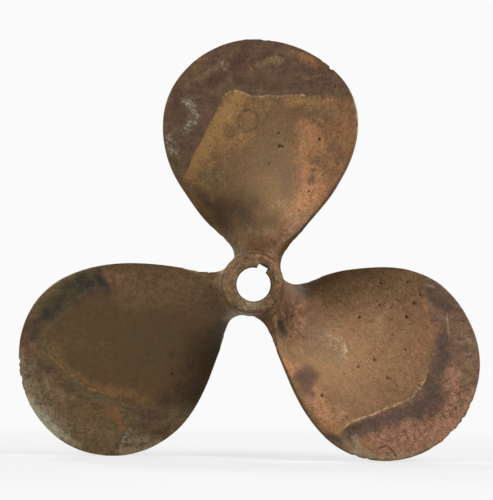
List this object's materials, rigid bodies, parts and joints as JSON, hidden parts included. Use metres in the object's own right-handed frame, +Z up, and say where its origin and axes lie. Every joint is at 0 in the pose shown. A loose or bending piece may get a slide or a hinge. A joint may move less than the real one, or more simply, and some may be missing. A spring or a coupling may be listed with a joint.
{
  "type": "ship propeller",
  "caption": "Left-hand boat propeller cast in bronze in one piece, with broad blades and a tapered, keyed bore. It drives a boat from its shaft.",
  "frame": {"origin": "on the shaft axis, where the reference lines of the blades meet it, inside the bore", "axes": "+Y forward along the shaft, from the small end of the bore to the large end, +Z up as the wheel stands on its two lower blades, +X to the right seen from astern"},
  "size_m": [0.376, 0.0743, 0.343],
  "materials": {
    "bronze": "weathered, satin"
  },
  "bodies": {
    "root": {"propeller": "bronze"}
  },
  "joints": []
}
